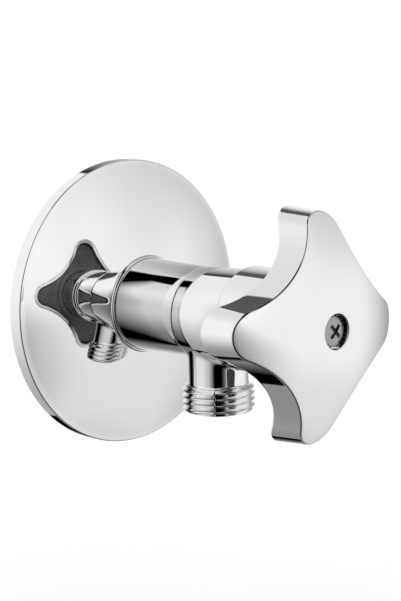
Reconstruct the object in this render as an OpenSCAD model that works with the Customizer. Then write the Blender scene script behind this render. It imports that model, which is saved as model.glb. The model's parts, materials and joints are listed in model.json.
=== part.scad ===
// Angle stop valve, wall mounted, G 1/2 inlet and G 1/2 outlet, with a four-lobed handle.
// Millimetres. +Z is up. The origin lies on the inlet axis in the plane of the wall, +Y points
// into the wall and the handle points along -Y. The outlet points along -Z.
// Stations named *_s are distances from the wall along the valve's axis, towards the handle.

/* [Pipe threads] */
// Major diameter of the G 1/2 pipe thread
thread_major_d = 20.955; // [20.5:0.005:21.2]
// Minor diameter of the G 1/2 pipe thread
thread_minor_d = 18.631; // [18.2:0.001:18.8]
// Pitch of the pipe thread
thread_pitch = 1.814; // [1.7:0.001:1.9]
// Number of thread ridges on the inlet nipple
inlet_turns = 7; // [4:1:8]
// Number of thread ridges on the outlet
outlet_turns = 4; // [3:1:4]

/* [Valve body] */
// Diameter of the barrel where the rosette sits
barrel_d = 27.6; // [27.2:0.1:27.7]
// Diameter of the barrel at its waist
waist_d = 26.2; // [25.6:0.1:26.6]
// Diameter of the body at its front face
front_d = 27.8; // [27.4:0.1:28.4]
// Distance from the wall to the waist
waist_s = 35.2; // [33:0.1:37]
// Distance from the wall to the body's front face
front_s = 54.4; // [54.2:0.1:54.6]
// Distance from the wall to the outlet's axis
outlet_s = 40.5; // [40:0.1:41]
// Distance from the valve's axis down to the outlet's end face
outlet_reach = 27.9; // [26.5:0.1:32]
// Diameter of the plain neck above the outlet thread
outlet_neck_d = 17.6; // [16.8:0.1:18.2]
// Bore of the outlet
outlet_bore_d = 11.5; // [10:0.1:11.6]
// Bore of the inlet nipple
nipple_bore_d = 13; // [11:0.1:13.4]
// Bore inside the barrel
barrel_bore_d = 17; // [14:0.1:18]

/* [Rosette] */
// Outer diameter of the rosette
rosette_d = 85.6; // [82:0.1:88]
// Height of the rosette's straight rim
rosette_rim_h = 4.35; // [3.6:0.05:4.6]
// Slope of the rosette's conical face
rosette_slope = 12.7; // [11:0.1:13.5]
// Radius of the rounding between the conical face and the rim
rosette_crown_r = 184; // [160:1:220]
// Sheet thickness of the rosette
rosette_wall = 0.6; // [0.5:0.1:0.8]
// Outer diameter of the rosette's lip round the barrel
lip_d = 28.6; // [28.4:0.1:29]
// Distance from the wall to the lip's front edge
lip_s = 12.3; // [12.2:0.1:13]

/* [Handle] */
// Diameter across opposite lobes
handle_tip_d = 65; // [60:0.1:68]
// Diameter across opposite hollows between the lobes
handle_waist_d = 42.8; // [40:0.1:44]
// Radius of a lobe's tip
lobe_r = 7.6; // [6.5:0.1:8]
// Radius of the domed front face
face_dome_r = 66; // [60:1:80]
// Distance from the wall to the top of the domed face
face_s = 86.1; // [85.8:0.1:86.6]
// Radius of the dished back edge
back_dish_r = 50.4; // [48:0.1:56]
// Distance from the wall to the top of the dished back
back_s = 78.4; // [78:0.1:79]
// Turn of the handle about its axis
handle_turn_deg = -3.9; // [-45:0.1:45]
// Width of the rim round the recess in the handle's back
handle_rim = 2; // [1.6:0.1:2.4]
// Outer diameter of the handle's skirt
skirt_d = 30.1; // [29.6:0.1:31]

/* [Headwork] */
// Width across flats of the housing's hexagon
housing_hex = 17; // [16:0.5:19]
// Width across flats of the piston's guide hexagon
piston_hex = 12; // [11.6:0.1:12]
// Travel of the piston between closed and open
piston_travel = 5.25; // [4:0.05:5.25]
// Diameter of the seat washer
washer_d = 14; // [12:0.1:14.6]

/* [Hidden] */
$fn = 96;

chrome = "gainsboro";
brass = "darkkhaki";
bronze = "peru";
steel = "silver";
rubber = "dimgray";
ptfe = "white";

// Gaps: a running fit between turning or sliding pieces, and the play inside a screw joint
run_gap = 0.08;
screw_gap = 0.05;
// A cut outside thread lies this far inside its nominal profile
thread_allowance = 0.16;
// A cutter reaches this far past the face that it opens
cut = 1;

// Pipe thread
thread_crest_r = thread_major_d / 2;
thread_root_r = thread_minor_d / 2;
thread_flat = 0.3;
thread_flank = thread_pitch / 2 - thread_flat;
thread_lead_in = 0.5;

// Inlet nipple
nipple_thread_top_s = 1.5;
nipple_thread_s = nipple_thread_top_s - inlet_turns * thread_pitch;
nipple_end_s = nipple_thread_s - thread_lead_in;
shoulder_s = 3.2;
seal_ring_h = 1.6;
seal_groove_r = 9.3;
seal_outer_r = 12;

// Barrel
barrel_straight_s = 12;
barrel_chamfer = 0.6;
waist_step = 0.1;
front_chamfer = 0.4;

// Rosette
crown_foot_r = 27;
rosette_edge = 0.5;
lip_fillet = 2.1;

// Waterways inside the body
barrel_bore_s = 6;
seat_web_s = 29;
seat_face_s = 33.5;
seat_lip = 0.6;
seat_bore_r = 4.75;
seat_ring_r = 6.6;
seat_ring_s = 30.5;
seat_web_hole_r = 5.6;
chamber_r = 9.2;
housing_end_s = 46.5;
headwork_turns = 3;

// Gasket seat in the body's front face
recess_r = 12.3;
recess_s = 52.4;
gasket_inner_r = 10.7;
gasket_h = 1.2;
flange_r = 12.1;
flange_top_s = 56.2;

// Headwork housing
hex_top_s = 62;
housing_neck_r = 7.5;
housing_top_s = 72;
piston_bore_r = 7.2;
collar_room_r = 6.2;
collar_room_end_s = 65;
shank_bore_r = 4.48;

// Spindle
spindle_thread_r = 3.9;
spindle_thread_s = 48;
spindle_collar_r = 5.9;
spindle_collar_s = 62.3;
spindle_collar_h = 1.8;
spindle_shank_r = shank_bore_r - run_gap;
spline_s = 73.3;
spline_top_s = 79.9;
spline_root_r = 3.65;
spline_tip_r = 4;
spline_teeth = 20;
o_ring_section = 1.8;
o_ring_inner_s = 67.2;
o_ring_outer_s = 70.2;
clip_s = 72.15;
clip_h = 0.8;
clip_outer_r = 6.1;
clip_groove_r = 3.9;
clip_opening = 3.2;

// Piston with its washer, closed on the seat
washer_s = seat_face_s + 0.1;
washer_h = 3.2;
washer_hole_r = 2.1;
piston_plate_r = 7.6;
piston_plate_s = washer_s + washer_h;
piston_cup_h = 1.4;
piston_plate_h = 1.8;
piston_r = piston_bore_r - run_gap;
piston_hex_s = 49.2;
piston_top_s = 56.5;
piston_ring_s = 47.9;
end_play = 0.25;
piston_thread_end_s = spindle_thread_s - piston_travel - 3 * end_play;
piston_bore_end_s = piston_hex_s + piston_travel + end_play;
guide_end_s = piston_top_s + piston_travel + end_play;
washer_screw_r = 1.95;
washer_screw_head_r = 3.4;
washer_screw_head_h = 1.8;
washer_screw_end_s = 40.5;

// Handle
recess_h = 3;
disc_r = 18;
disc_rise = 0.4;
skirt_gap = 0.3;
skirt_s = front_s + skirt_gap;
skirt_bore_r = 13.4;
skirt_top_s = 79;
boss_r = 7.2;
boss_s = 73.4;
web_s = 80.2;
web_top_s = 82;
insert_r = 5.5;
screw_pocket_r = 4.8;
screw_r = 1.95;
screw_head_r = 4.1;
screw_head_h = 1.9;
screw_end_s = 70.2;
screw_crown = 0.7;
screw_crown_r = (pow(screw_head_r, 2) + pow(screw_crown, 2)) / (2 * screw_crown);
lock_washer_h = 0.7;
recess_arm = 2.9;
recess_slot = 1.1;
recess_depth = 1.5;
rib_t = 1.6;
arc_steps = 10;

// The valve's main axis: local z is the distance from the wall, local y is up
module on_axis(s = 0) {
    rotate([90, 0, 0]) translate([0, 0, s]) children();
}

// The outlet's axis: local z is the distance down from the valve's axis
module on_outlet(depth = 0) {
    translate([0, -outlet_s, 0]) rotate([180, 0, 0]) translate([0, 0, depth]) children();
}

module rod(r, from_s, to_s) {
    translate([0, 0, from_s]) cylinder(r = r, h = to_s - from_s);
}

module tube(outer_r, inner_r, from_s, to_s) {
    difference() {
        rod(outer_r, from_s, to_s);
        rod(inner_r, from_s - cut, to_s + cut);
    }
}

module hex_rod(flats, from_s, to_s) {
    corner_r = flats / 2 / cos(30);
    translate([0, 0, from_s]) linear_extrude(to_s - from_s) circle(r = corner_r, $fn = 6);
}

// A torus: an O-ring whose section touches the inner radius
module o_ring(inner_r, section) {
    rotate_extrude() translate([inner_r + section / 2, 0]) circle(d = section, $fn = 32);
}

// Points of an arc, from one angle to another
function arc(cx, cy, r, from, to, steps) = [
    for (i = [0 : steps])
        let (a = from + (to - from) * i / steps)
        [cx + r * cos(a), cy + r * sin(a)]
];

// Thread ridges as a profile of [radius, station], one V with a flat crest per turn
function ridges(root_r, crest_r, from_s, turns) = [
    for (k = [0 : turns - 1])
        let (s = from_s + k * thread_pitch)
        each [
            [root_r, s],
            [crest_r, s + thread_flank],
            [crest_r, s + thread_flank + thread_flat],
            [root_r, s + thread_flank * 2 + thread_flat]
        ]
];

module threaded_rod(from_s, turns, play = 0) {
    to_s = from_s + turns * thread_pitch;
    side = ridges(thread_root_r + play, thread_crest_r + play, from_s, turns);
    profile = concat([[0, from_s]], side, [[thread_root_r + play, to_s], [0, to_s]]);
    rotate_extrude() polygon(profile);
}

// Toothed outline of a splined shaft
module spline_outline(root_r, tip_r) {
    step = 360 / spline_teeth;
    polygon([
        for (i = [0 : spline_teeth - 1])
            each [
                [root_r * cos(i * step), root_r * sin(i * step)],
                [tip_r * cos((i + 0.5) * step), tip_r * sin((i + 0.5) * step)]
            ]
    ]);
}

// ---- Valve body ----

module body_outside() {
    barrel_r = barrel_d / 2;
    waist_r = waist_d / 2;
    front_r = front_d / 2;
    on_axis() {
        rotate_extrude() polygon([
            [0, shoulder_s],
            [barrel_r - barrel_chamfer, shoulder_s],
            [barrel_r, shoulder_s + barrel_chamfer],
            [barrel_r, barrel_straight_s],
            [waist_r, waist_s],
            [waist_r + waist_step, waist_s + waist_step],
            [front_r, front_s - front_chamfer],
            [front_r - front_chamfer, front_s],
            [0, front_s]
        ]);
        threaded_rod(nipple_thread_s, inlet_turns);
        rod(seal_groove_r, 0, shoulder_s + cut);
        translate([0, 0, nipple_end_s]) {
            cylinder(r1 = thread_root_r - thread_lead_in, r2 = thread_root_r, h = thread_lead_in);
        }
    }
}

module outlet_outside() {
    thread_end = outlet_reach - thread_lead_in;
    thread_start = thread_end - outlet_turns * thread_pitch;
    on_outlet() {
        rod(outlet_neck_d / 2, 0, thread_start);
        threaded_rod(thread_start, outlet_turns);
        translate([0, 0, thread_end]) {
            cylinder(r1 = thread_root_r, r2 = thread_root_r - thread_lead_in / 2, h = thread_lead_in);
        }
    }
}

module waterways() {
    on_axis() {
        rod(nipple_bore_d / 2, nipple_end_s - cut, barrel_bore_s + cut);
        rod(barrel_bore_d / 2, barrel_bore_s, seat_web_s);
        rod(seat_web_hole_r, seat_web_s - cut, seat_face_s);
        rod(seat_ring_r, seat_ring_s, seat_face_s);
        rod(chamber_r, seat_face_s - seat_lip, recess_s + cut);
        threaded_rod(housing_end_s, headwork_turns, screw_gap);
        rod(recess_r, recess_s, front_s + cut);
    }
    on_outlet() rod(outlet_bore_d / 2, 0, outlet_reach + cut);
}

module valve_body() {
    color(chrome) difference() {
        union() {
            body_outside();
            outlet_outside();
        }
        waterways();
    }
}

module inlet_seal_ring() {
    ring_s = shoulder_s - seal_ring_h;
    color(ptfe) on_axis() tube(seal_outer_r, seal_groove_r + screw_gap, ring_s, shoulder_s);
}

module seat_ring() {
    color(steel) on_axis() tube(seat_ring_r, seat_bore_r, seat_ring_s, seat_face_s);
}

// ---- Rosette ----

// Drop of the rounded outer face below the cone's foot, at a distance r from the axis
function crown_drop(r) =
    let (centre_r = crown_foot_r - rosette_crown_r * sin(rosette_slope))
    rosette_crown_r * cos(rosette_slope) - sqrt(pow(rosette_crown_r, 2) - pow(r - centre_r, 2));

// Height of the rosette's face over the wall at a distance r from the axis
function rosette_height(r) =
    let (foot_s = rosette_rim_h + crown_drop(rosette_d / 2 - rosette_edge))
    r > crown_foot_r ? foot_s - crown_drop(r) : foot_s + (crown_foot_r - r) * tan(rosette_slope);

// Radius of the circle on which the throat's arc is centred: the arc is tangent to the cone and
// ends on the lip's front edge
function throat_centre_r(lip_r) =
    let (
        t = tan(rosette_slope),
        rise = rosette_height(0) + lip_fillet / cos(rosette_slope) - lip_s,
        half = lip_r + rise * t,
        square = pow(lip_r, 2) + pow(rise, 2) - pow(lip_fillet, 2)
    )
    (half + sqrt(max(0, pow(half, 2) - (1 + t * t) * square))) / (1 + t * t);

module rosette() {
    rim_r = rosette_d / 2;
    lip_r = lip_d / 2;
    bore_r = barrel_d / 2 + 0.1;
    fillet_r = throat_centre_r(lip_r);
    fillet_s = rosette_height(fillet_r) + lip_fillet / cos(rosette_slope);
    throat_end = 180 + atan2(fillet_s - lip_s, fillet_r - lip_r);
    steps = 8;
    face = [
        for (i = [0 : steps])
            let (r = rim_r - rosette_edge - (rim_r - rosette_edge - crown_foot_r) * i / steps)
            [r, rosette_height(r)]
    ];
    rim_corner = arc(rim_r - rosette_edge, rosette_rim_h - rosette_edge, rosette_edge, 0, 75, 3);
    throat = arc(fillet_r, fillet_s, lip_fillet, 270 - rosette_slope, throat_end, 8);
    front = concat([[rim_r, 0]], rim_corner, face, throat);
    inner_face = [
        for (i = [0 : steps])
            let (r = crown_foot_r + (rim_r - rosette_wall - crown_foot_r) * i / steps)
            [r, rosette_height(r) - rosette_wall]
    ];
    back = concat(
        [[bore_r, lip_s], [bore_r, rosette_height(bore_r)]],
        [[bore_r + rosette_wall, rosette_height(bore_r + rosette_wall) - rosette_wall]],
        inner_face,
        [[rim_r - rosette_wall, 0]]
    );
    color(chrome) on_axis() rotate_extrude() polygon(concat(front, back));
}

module rosette_o_ring() {
    section = 1.6;
    color(rubber) on_axis(9.75) o_ring(barrel_d / 2 + run_gap, section);
}

// ---- Headwork ----

module headwork_housing() {
    color(brass) on_axis() difference() {
        union() {
            threaded_rod(housing_end_s, headwork_turns, -thread_allowance);
            rod(thread_root_r - thread_allowance, housing_end_s, recess_s + gasket_h);
            rod(flange_r, recess_s + gasket_h, flange_top_s);
            hex_rod(housing_hex, flange_top_s, hex_top_s);
            rod(housing_neck_r, hex_top_s, housing_top_s);
        }
        rod(piston_bore_r, housing_end_s - cut, piston_bore_end_s);
        hex_rod(piston_hex + 2 * run_gap, piston_bore_end_s - cut, guide_end_s);
        rod(collar_room_r, guide_end_s - cut, collar_room_end_s);
        rod(shank_bore_r, collar_room_end_s - cut, housing_top_s + cut);
    }
}

module headwork_gasket() {
    color(rubber) on_axis() {
        tube(flange_r, gasket_inner_r, recess_s, recess_s + gasket_h);
    }
}

module ring_groove(shaft_r, centre_s, section) {
    groove_r = shaft_r - section * 0.8;
    tube(shaft_r + cut, groove_r, centre_s - section * 0.6, centre_s + section * 0.6);
}

module spindle() {
    collar_top_s = spindle_collar_s + spindle_collar_h;
    color(bronze) on_axis() difference() {
        union() {
            rod(spindle_thread_r, spindle_thread_s, spindle_collar_s + cut);
            rod(spindle_collar_r, spindle_collar_s, collar_top_s);
            rod(spindle_shank_r, collar_top_s - cut, spline_s);
            translate([0, 0, spline_s - cut]) linear_extrude(spline_top_s - spline_s + cut) {
                spline_outline(spline_root_r, spline_tip_r);
            }
        }
        ring_groove(spindle_shank_r, o_ring_inner_s, o_ring_section);
        ring_groove(spindle_shank_r, o_ring_outer_s, o_ring_section);
        tube(spindle_shank_r + cut, clip_groove_r, clip_s, clip_s + clip_h);
        rod(screw_r + screw_gap, screw_end_s - cut, spline_top_s + cut);
    }
}

module spindle_o_ring(centre_s) {
    inner_r = shank_bore_r - screw_gap - o_ring_section * 0.75;
    color(rubber) on_axis(centre_s) o_ring(inner_r, o_ring_section * 0.75);
}

module spindle_o_ring_inner() {
    spindle_o_ring(o_ring_inner_s);
}

module spindle_o_ring_outer() {
    spindle_o_ring(o_ring_outer_s);
}

module thrust_washer() {
    bottom_s = spindle_collar_s + spindle_collar_h;
    top_s = collar_room_end_s - run_gap;
    color(ptfe) on_axis() tube(spindle_collar_r, spindle_shank_r + screw_gap, bottom_s, top_s);
}

module spindle_circlip() {
    color(steel) on_axis() difference() {
        tube(clip_outer_r, clip_groove_r + screw_gap, clip_s, clip_s + clip_h);
        translate([0, -clip_opening / 2, clip_s - cut]) {
            cube([clip_outer_r + cut, clip_opening, clip_h + 2 * cut]);
        }
    }
}

// ---- Piston ----

module piston() {
    color(brass) on_axis() difference() {
        union() {
            rod(piston_plate_r, piston_plate_s - piston_cup_h, piston_plate_s + piston_plate_h);
            rod(piston_r, piston_plate_s, piston_hex_s);
            hex_rod(piston_hex, piston_hex_s - cut, piston_top_s);
        }
        rod(washer_d / 2 + screw_gap, piston_plate_s - piston_cup_h - cut, piston_plate_s);
        rod(washer_screw_r + screw_gap, piston_plate_s - cut, washer_screw_end_s);
        rod(spindle_thread_r + run_gap, piston_thread_end_s, piston_top_s + cut);
        ring_groove(piston_r, piston_ring_s, o_ring_section);
    }
}

module piston_o_ring() {
    section = o_ring_section * 0.75;
    color(rubber) on_axis(piston_ring_s) o_ring(piston_bore_r - screw_gap - section, section);
}

module seat_washer() {
    color(rubber) on_axis() tube(washer_d / 2, washer_hole_r, washer_s, piston_plate_s);
}

module washer_screw() {
    head_s = washer_s - washer_screw_head_h;
    color(steel) on_axis() difference() {
        union() {
            rod(washer_screw_head_r, head_s, washer_s);
            rod(washer_screw_r, washer_s - cut, washer_screw_end_s);
        }
        translate([-washer_screw_head_r - cut, -0.4, head_s - cut]) {
            cube([2 * (washer_screw_head_r + cut), 0.8, cut + 0.8]);
        }
    }
}

// ---- Handle ----

// Outline of the four lobes: convex tips joined by hollows that are tangent to them
module star_outline(inset) {
    tip = lobe_r - inset;
    tip_at = handle_tip_d / 2 - lobe_r;
    hollow_at = handle_waist_d / 2 - inset;
    c = cos(45);
    k = 2 * hollow_at - 2 * tip_at * c - 2 * tip;
    hollow = (pow(tip, 2) - pow(tip_at, 2) - pow(hollow_at, 2) + 2 * tip_at * hollow_at * c) / k;
    hollow_centre = hollow_at + hollow;
    meet = atan2(hollow_centre * c, hollow_centre * c - tip_at);
    back = atan2(-hollow_centre * c, tip_at - hollow_centre * c);
    polygon([
        for (i = [0 : 3])
            let (
                quarter = 90 * i,
                side = arc(tip_at, 0, tip, -meet, meet, arc_steps),
                dip = arc(hollow_centre * c, hollow_centre * c, hollow, back + 360,
                          270 - (back + 180), arc_steps)
            )
            each [
                for (p = concat(side, [for (j = [1 : arc_steps - 1]) dip[j]]))
                    [p.x * cos(quarter) - p.y * sin(quarter), p.x * sin(quarter) + p.y * cos(quarter)]
            ]
    ]);
}

module ball(radius, top_s) {
    translate([0, 0, top_s - radius]) sphere(r = radius, $fn = 180);
}

// A slab with a domed face and a dished back, which has a shallow recess inside its rim
module lobed_slab() {
    depth_s = 60;
    difference() {
        intersection() {
            translate([0, 0, depth_s]) linear_extrude(face_s - depth_s) star_outline(0);
            ball(face_dome_r, face_s);
        }
        ball(back_dish_r, back_s);
        intersection() {
            translate([0, 0, depth_s]) linear_extrude(face_s - depth_s) star_outline(handle_rim);
            ball(back_dish_r + recess_h, back_s + recess_h);
        }
    }
}

module handle() {
    disc_h = recess_h - disc_rise;
    color(chrome) on_axis() rotate([0, 0, handle_turn_deg]) difference() {
        union() {
            lobed_slab();
            difference() {
                rod(disc_r, back_s - disc_r, back_s + recess_h);
                ball(back_dish_r + disc_h, back_s + disc_h);
            }
            rod(skirt_d / 2, skirt_s, back_s + recess_h);
        }
        difference() {
            rod(skirt_bore_r, skirt_s - cut, skirt_top_s);
            rod(boss_r, boss_s, face_s);
            for (a = [0, 90]) {
                rotate([0, 0, a]) translate([-skirt_bore_r - cut, -rib_t / 2, boss_s + cut]) {
                    cube([2 * (skirt_bore_r + cut), rib_t, skirt_top_s - boss_s]);
                }
            }
        }
        rod(insert_r + screw_gap, boss_s - cut, web_s);
        rod(screw_r + 0.25, web_s - cut, web_top_s + cut);
        rod(screw_pocket_r, web_top_s, face_s + cut);
    }
}

module handle_insert() {
    color(brass) on_axis() difference() {
        rod(insert_r, boss_s + 0.2, web_s - screw_gap);
        translate([0, 0, boss_s - cut]) linear_extrude(web_s - boss_s + 2 * cut) {
            spline_outline(spline_root_r + screw_gap, spline_tip_r + screw_gap);
        }
    }
}

module handle_screw() {
    seat_s = web_top_s + lock_washer_h;
    head_top_s = seat_s + screw_head_h;
    color(steel) on_axis() difference() {
        union() {
            rod(screw_r, screw_end_s, seat_s + cut);
            rod(screw_head_r, seat_s, head_top_s);
            intersection() {
                rod(screw_head_r, seat_s, head_top_s + screw_crown);
                ball(screw_crown_r, head_top_s + screw_crown);
            }
        }
        for (a = [45, 135]) {
            rotate([0, 0, a]) {
                translate([-recess_arm, -recess_slot / 2, head_top_s + screw_crown - recess_depth]) {
                    cube([2 * recess_arm, recess_slot, recess_depth + cut]);
                }
            }
        }
    }
}

module screw_lock_washer() {
    slit = 0.5;
    color(steel) on_axis() difference() {
        tube(screw_head_r - 0.1, screw_r + 0.2, web_top_s, web_top_s + lock_washer_h);
        translate([0, -slit / 2, web_top_s - cut]) {
            cube([screw_head_r + cut, slit, lock_washer_h + 2 * cut]);
        }
    }
}

valve_body();
inlet_seal_ring();
seat_ring();
rosette();
rosette_o_ring();
headwork_housing();
headwork_gasket();
spindle();
thrust_washer();
spindle_o_ring_inner();
spindle_o_ring_outer();
spindle_circlip();
piston();
piston_o_ring();
seat_washer();
washer_screw();
handle();
handle_insert();
handle_screw();
screw_lock_washer();
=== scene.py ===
import json
import math

import bmesh
import bpy
from mathutils import Matrix, Vector


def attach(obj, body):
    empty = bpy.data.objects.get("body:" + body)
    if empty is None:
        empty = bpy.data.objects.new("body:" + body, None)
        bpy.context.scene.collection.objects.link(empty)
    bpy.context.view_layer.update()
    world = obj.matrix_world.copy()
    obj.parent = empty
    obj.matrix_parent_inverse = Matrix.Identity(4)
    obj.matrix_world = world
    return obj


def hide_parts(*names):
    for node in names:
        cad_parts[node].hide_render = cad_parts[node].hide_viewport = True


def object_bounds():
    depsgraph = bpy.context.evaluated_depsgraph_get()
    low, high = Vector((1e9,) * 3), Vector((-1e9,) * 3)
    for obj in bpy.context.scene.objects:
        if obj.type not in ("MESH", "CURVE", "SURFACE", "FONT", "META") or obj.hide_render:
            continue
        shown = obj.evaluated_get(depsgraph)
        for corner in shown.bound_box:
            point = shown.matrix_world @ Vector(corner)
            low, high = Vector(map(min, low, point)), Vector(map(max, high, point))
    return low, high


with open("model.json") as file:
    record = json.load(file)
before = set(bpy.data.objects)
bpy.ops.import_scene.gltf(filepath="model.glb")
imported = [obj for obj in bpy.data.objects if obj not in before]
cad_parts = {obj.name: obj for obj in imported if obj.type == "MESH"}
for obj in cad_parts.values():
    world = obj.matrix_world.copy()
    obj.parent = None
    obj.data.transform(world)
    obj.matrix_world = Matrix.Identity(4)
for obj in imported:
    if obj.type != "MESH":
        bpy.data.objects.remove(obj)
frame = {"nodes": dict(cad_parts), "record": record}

CAD_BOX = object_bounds()

# ---------------------------------------------------------------------------
# Dimensions, in millimetres. Stations are distances from the wall along the
# valve's axis, towards the handle. Blender's own units are metres.
# ---------------------------------------------------------------------------
MM = 0.001

# G 1/2 pipe thread
PITCH = 1.814
CREST_R = 20.955 / 2
ROOT_R = 18.631 / 2
ROWS_PER_TURN = 12

# Columns of the body's mesh round the valve's axis. Round the outlet a patch of them stays open:
# half its width in columns, its ends, the rings that fill it, and the rings of the blend inside them.
COLUMNS = 192
PATCH_HALF = 33
PATCH_LOW_S = 28.0
PATCH_HIGH_S = 53.0
PATCH_RINGS = 18
BLEND_RINGS = 12
BLEND_REACH = 0.45

# Barrel
BARREL_R = 13.8
WAIST_R = 13.1
FRONT_R = 13.9
STRAIGHT_S = 12.0
WAIST_S = 35.2
WAIST_STEP = 0.1
WAIST_STEP_LENGTH = 0.5
FRONT_S = 54.4
SHOULDER_S = 3.2

# Outlet
OUTLET_S = 40.5
NECK_R = 8.8
OUTLET_END = 27.9
OUTLET_THREAD_TOP = 20.1
OUTLET_THREAD_END_R = 9.55
OUTLET_BORE_R = 5.75
OUTLET_BORE_TOP = 11.5
NECK_BLEND = 2.0
NECK_BLEND_DROP = 1.7
NECK_FLARE_TOP = 16.8

# Waterways
CHAMBER_R = 9.2
CHAMBER_LOW_S = 33.5
CHAMBER_HIGH_S = 46.8
HEADWORK_BORE_R = 10.5
HEADWORK_BORE_S = 47.3
RECESS_R = 12.3
RECESS_S = 52.4
SEAT_WEB_S = 29.0
SEAT_POCKET_S = 30.5
SEAT_TOP_S = 32.9
SEAT_HOLE_R = 5.6
SEAT_RING_R = 6.6
BARREL_BORE_R = 8.5
BARREL_BORE_S = 6.0
NIPPLE_BORE_R = 6.5
NIPPLE_END_S = -11.7
NIPPLE_THREAD_TOP_S = 1.5
SEAL_GROOVE_R = 9.3
SEAL_OUTER_R = 11.95
SEAL_RING_H = 1.6

# Rosette
RIM_R = 42.78
RIM_S = 4.35
RIM_EDGE = 0.5
CROWN_R = 184.0
CROWN_FOOT_R = 27.0
CONE_SLOPE = math.radians(12.7)
SHEET = 0.6
LIP_R = 14.28
LIP_S = 12.3
LIP_BORE_R = 13.9
LIP_FILLET = 0.5
INNER_CROWN_R = 290.0
RIM_CORNER = 1.2
O_RING_INNER_R = 13.88
O_RING_SECTION = 1.6
O_RING_S = 9.75

# Handle
TIP_AT = 24.9
TIP_R = 7.6
HOLLOW_AT = 21.4
HANDLE_TURN = math.radians(-3.9)
FACE_R = 66.0
FACE_S = 86.0
DISH_R = 50.4
DISH_S = 78.4
DRAFT = 0.75
RIM_WIDTH = 2.0
RECESS_DEPTH = 3.0
DISC_R = 18.0
DISC_RISE = 0.4
EDGE = 0.8
RIM_ROUND = 0.5
RECESS_ROUND = 0.7
SKIRT_R = 15.05
SKIRT_BORE_R = 13.4
SKIRT_S = 54.7
SKIRT_TOP_S = 79.0
BOSS_R = 7.2
BOSS_S = 73.4
WEB_S = 80.2
WEB_TOP_S = 82.0
POCKET_R = 4.8
POCKET_EDGE_R = 6.0
SCREW_HOLE_R = 2.25
INSERT_R = 5.55

# Screw
SCREW_SEAT_S = 82.7
SCREW_HEAD_R = 4.05
SCREW_HEAD_H = 1.9
SCREW_CROWN = 0.65
SCREW_SHANK_R = 1.9
SCREW_END_S = 70.3
CROSS_ARM = 2.75
CROSS_SLOT = 0.62
CROSS_DEPTH = 1.75

SHARP_ANGLE = math.radians(38)


# ---------------------------------------------------------------------------
# Mesh helpers
# ---------------------------------------------------------------------------
def rounded(corners, steps=6):
    """Turns (radius, station, fillet) corners into (radius, station) points, the fillets as arcs."""
    points = []
    for i, (x, y, fillet) in enumerate(corners):
        here = Vector((x, y))
        if not fillet or i in (0, len(corners) - 1):
            points.append((x, y))
            continue
        before = (Vector(corners[i - 1][:2]) - here).normalized()
        after = (Vector(corners[i + 1][:2]) - here).normalized()
        half = before.angle(after) / 2
        reach = fillet / math.tan(half)
        centre = here + (before + after).normalized() * (fillet / math.sin(half))
        start, end = here + before * reach, here + after * reach
        a = math.atan2(start.y - centre.y, start.x - centre.x)
        turn = math.atan2(end.y - centre.y, end.x - centre.x) - a
        turn = (turn + math.pi) % math.tau - math.pi
        support = fillet * 0.25
        points.append(tuple(start + before * support))
        for k in range(steps + 1):
            b = a + turn * k / steps
            points.append((centre.x + fillet * math.cos(b), centre.y + fillet * math.sin(b)))
        points.append(tuple(end + after * support))
    return points


def between(a, b, count):
    """count values strictly between a and b."""
    return [a + (b - a) * (i + 1) / (count + 1) for i in range(count)]


def on_axis(radius, station, turn):
    """A point at a radius, a station and an angle from straight down, towards +X."""
    return Vector((radius * math.sin(turn), -station, -radius * math.cos(turn)))


def ring(radius, station, turns):
    return [on_axis(radius, station, t) for t in turns]


class Shell:
    """Collects rows of points, in millimetres, and the faces between them with their finish."""

    def __init__(self):
        self.points = []
        self.faces = []
        self.finish = 0
        self.finishes = []

    def row(self, points):
        first = len(self.points)
        self.points.extend(points)
        return list(range(first, len(self.points)))

    def bridge(self, a, b, closed=True, skip=()):
        count = len(a)
        for i in range(count if closed else count - 1):
            j = (i + 1) % count
            if i not in skip:
                self.face(a[i], a[j], b[j], b[i])

    def face(self, *corners):
        self.faces.append(corners)
        self.finishes.append(self.finish)

    def loft(self, rows, cyclic=False, finishes=None):
        """Bridges point lists in order and returns their index rows."""
        made = [self.row(r) for r in rows]
        for i in range(1, len(made)):
            self.finish = finishes[i] if finishes else 0
            self.bridge(made[i - 1], made[i])
        if cyclic:
            self.bridge(made[-1], made[0])
        self.finish = 0
        return made

    def cap(self, row):
        self.face(*row)

    def build(self, name, sharp=SHARP_ANGLE):
        mesh = bpy.data.meshes.new(name)
        mesh.from_pydata([p * MM for p in self.points], [], self.faces)
        mesh.polygons.foreach_set("material_index", self.finishes)
        bm = bmesh.new()
        bm.from_mesh(mesh)
        bmesh.ops.remove_doubles(bm, verts=bm.verts, dist=0.002 * MM)
        bmesh.ops.dissolve_degenerate(bm, edges=bm.edges, dist=0.002 * MM)
        bmesh.ops.recalc_face_normals(bm, faces=bm.faces)
        bm.to_mesh(mesh)
        bm.free()
        mesh.shade_smooth()
        mesh.set_sharp_from_angle(angle=sharp)
        made = bpy.data.objects.new(name, mesh)
        bpy.context.scene.collection.objects.link(made)
        return made


def revolve(name, profile, columns=COLUMNS, cyclic=True, sharp=SHARP_ANGLE):
    """A profile of (radius, station) turned round the valve's axis: closed, or capped at its ends."""
    turns = [math.tau * i / columns for i in range(columns)]
    shell = Shell()
    rows = shell.loft([ring(r, s, turns) for r, s in profile], cyclic)
    if not cyclic:
        shell.cap(rows[0])
        shell.cap(rows[-1])
    return shell.build(name, sharp)


def whitworth(f):
    """Height, 0 to 1, of a rounded pipe thread at a fraction of its pitch."""
    f = abs((f % 1.0) - 0.5)
    f = 0.5 - f
    if f < 1 / 6:
        return 9 * f * f
    if f < 1 / 3:
        return 0.25 + 3 * (f - 1 / 6)
    return 1 - 9 * (0.5 - f) ** 2


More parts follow.
